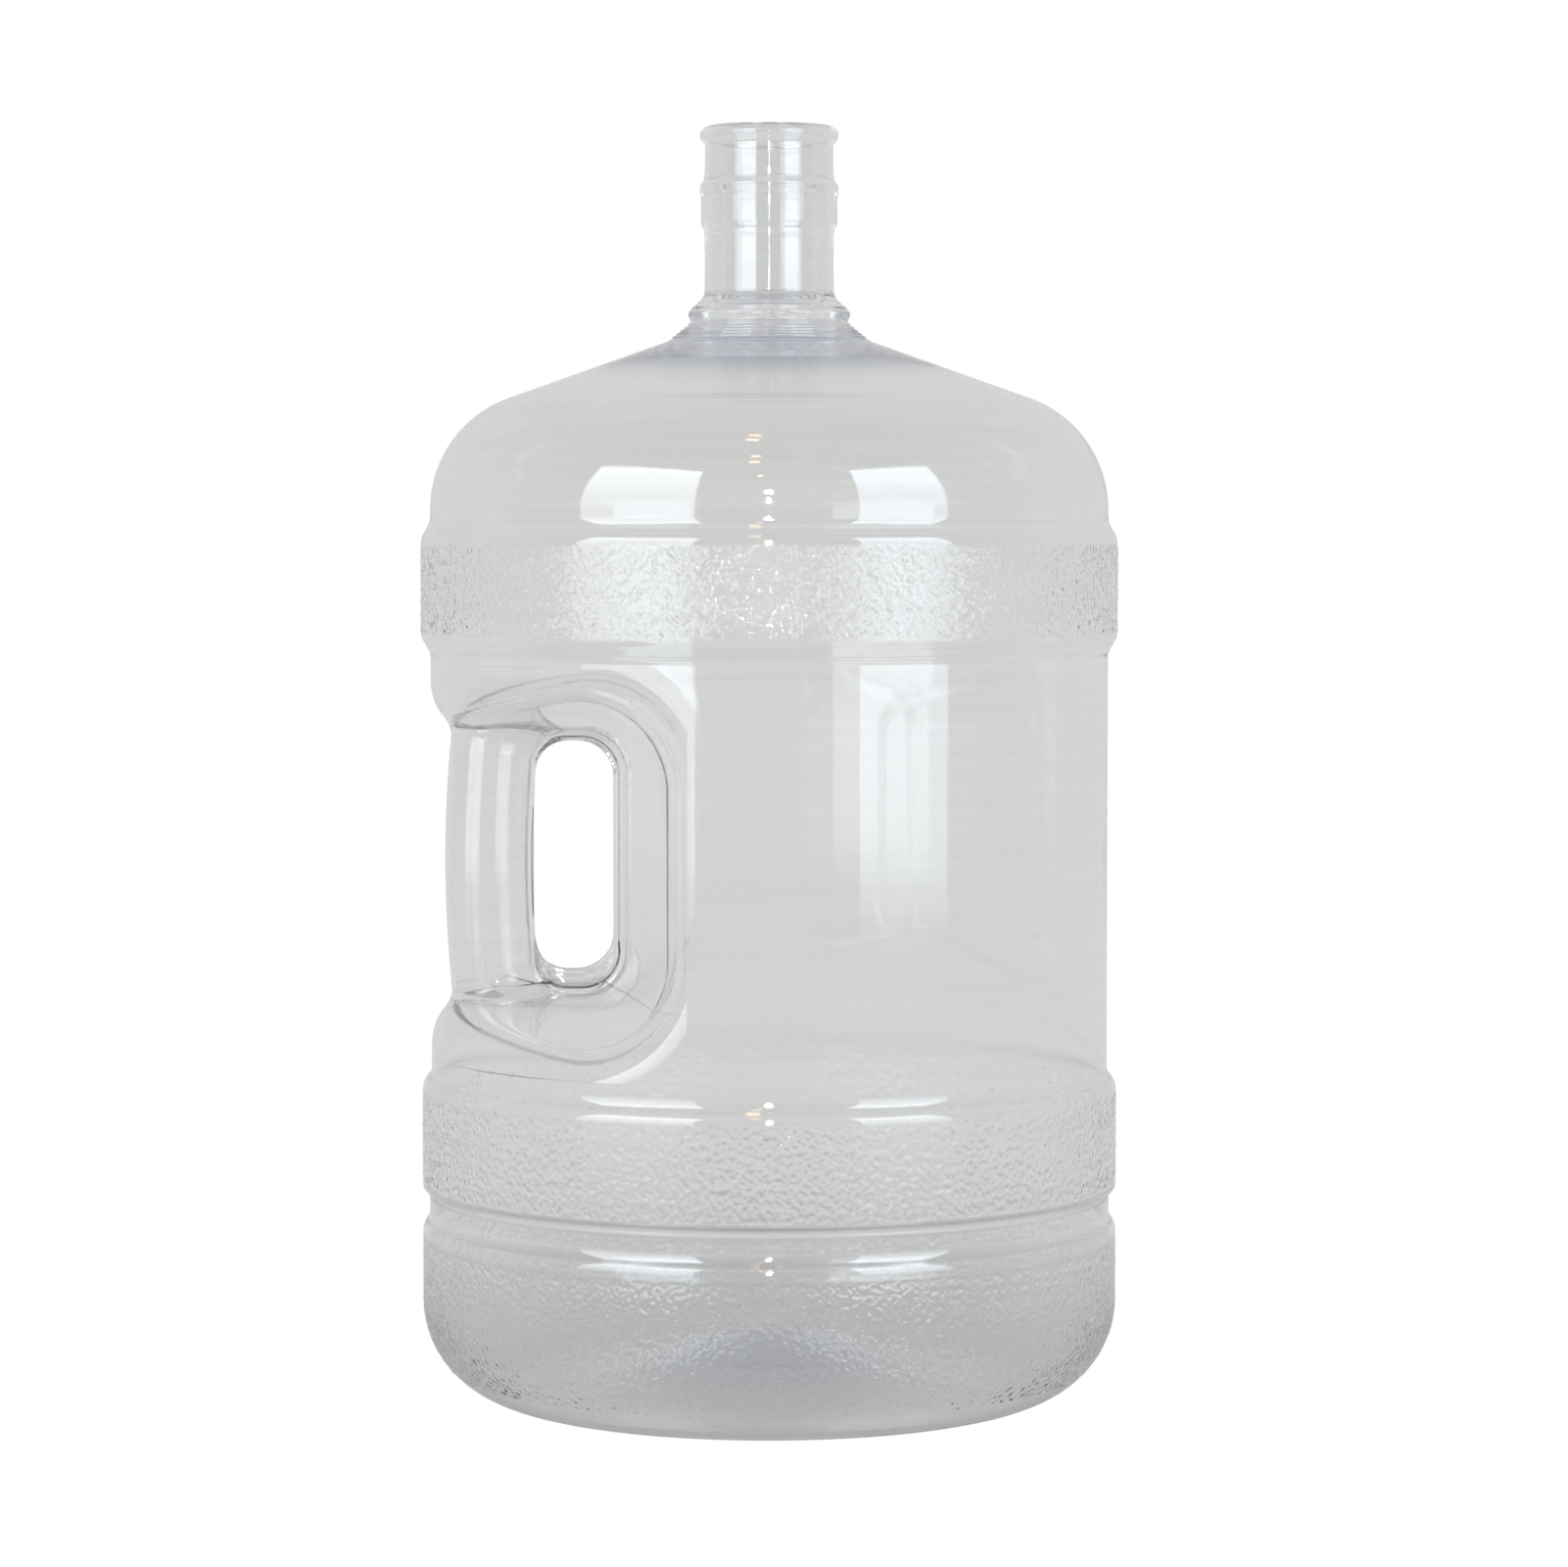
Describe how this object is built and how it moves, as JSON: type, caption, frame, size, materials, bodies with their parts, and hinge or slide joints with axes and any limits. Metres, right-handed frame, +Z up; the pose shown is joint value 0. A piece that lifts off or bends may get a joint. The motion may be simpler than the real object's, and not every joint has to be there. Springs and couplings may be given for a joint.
{
  "type": "water jug",
  "caption": "Large clear water-cooler jug with an open press-on-cap neck, pebbled bands round its body and a hollow handle moulded into its side.",
  "frame": {"origin": "on the jug's axis, on the plane that it stands on", "axes": "+Z up along the jug's axis, -X towards the handle, Y across the handle's recess"},
  "size_m": [0.272, 0.272, 0.498],
  "materials": {
    "clear_plastic": "clear glossy blown plastic with a faint grey cast and fine handling scratches",
    "pebbled_plastic": "the same clear plastic with a fine pebbled moulded texture",
    "thick_plastic": "the same clear plastic where it is thick enough to look slightly blue"
  },
  "bodies": {
    "root": {"mouth_bead": "clear_plastic", "neck_tube": "clear_plastic", "cap_ring": "clear_plastic", "neck_sleeve": "clear_plastic", "collar_flare": "thick_plastic", "collar_ribs": "thick_plastic", "shoulder_cone": "clear_plastic", "shoulder_bend": "clear_plastic", "upper_band": "pebbled_plastic", "body_wall": "clear_plastic", "recess_floor": "clear_plastic", "recess_side": "clear_plastic", "recess_ceiling": "clear_plastic", "handle_grip": "clear_plastic", "lower_band": "pebbled_plastic", "waist_groove": "clear_plastic", "base_band": "pebbled_plastic", "heel_ring": "pebbled_plastic", "foot_ring": "clear_plastic", "base_dome": "thick_plastic"}
  },
  "joints": []
}
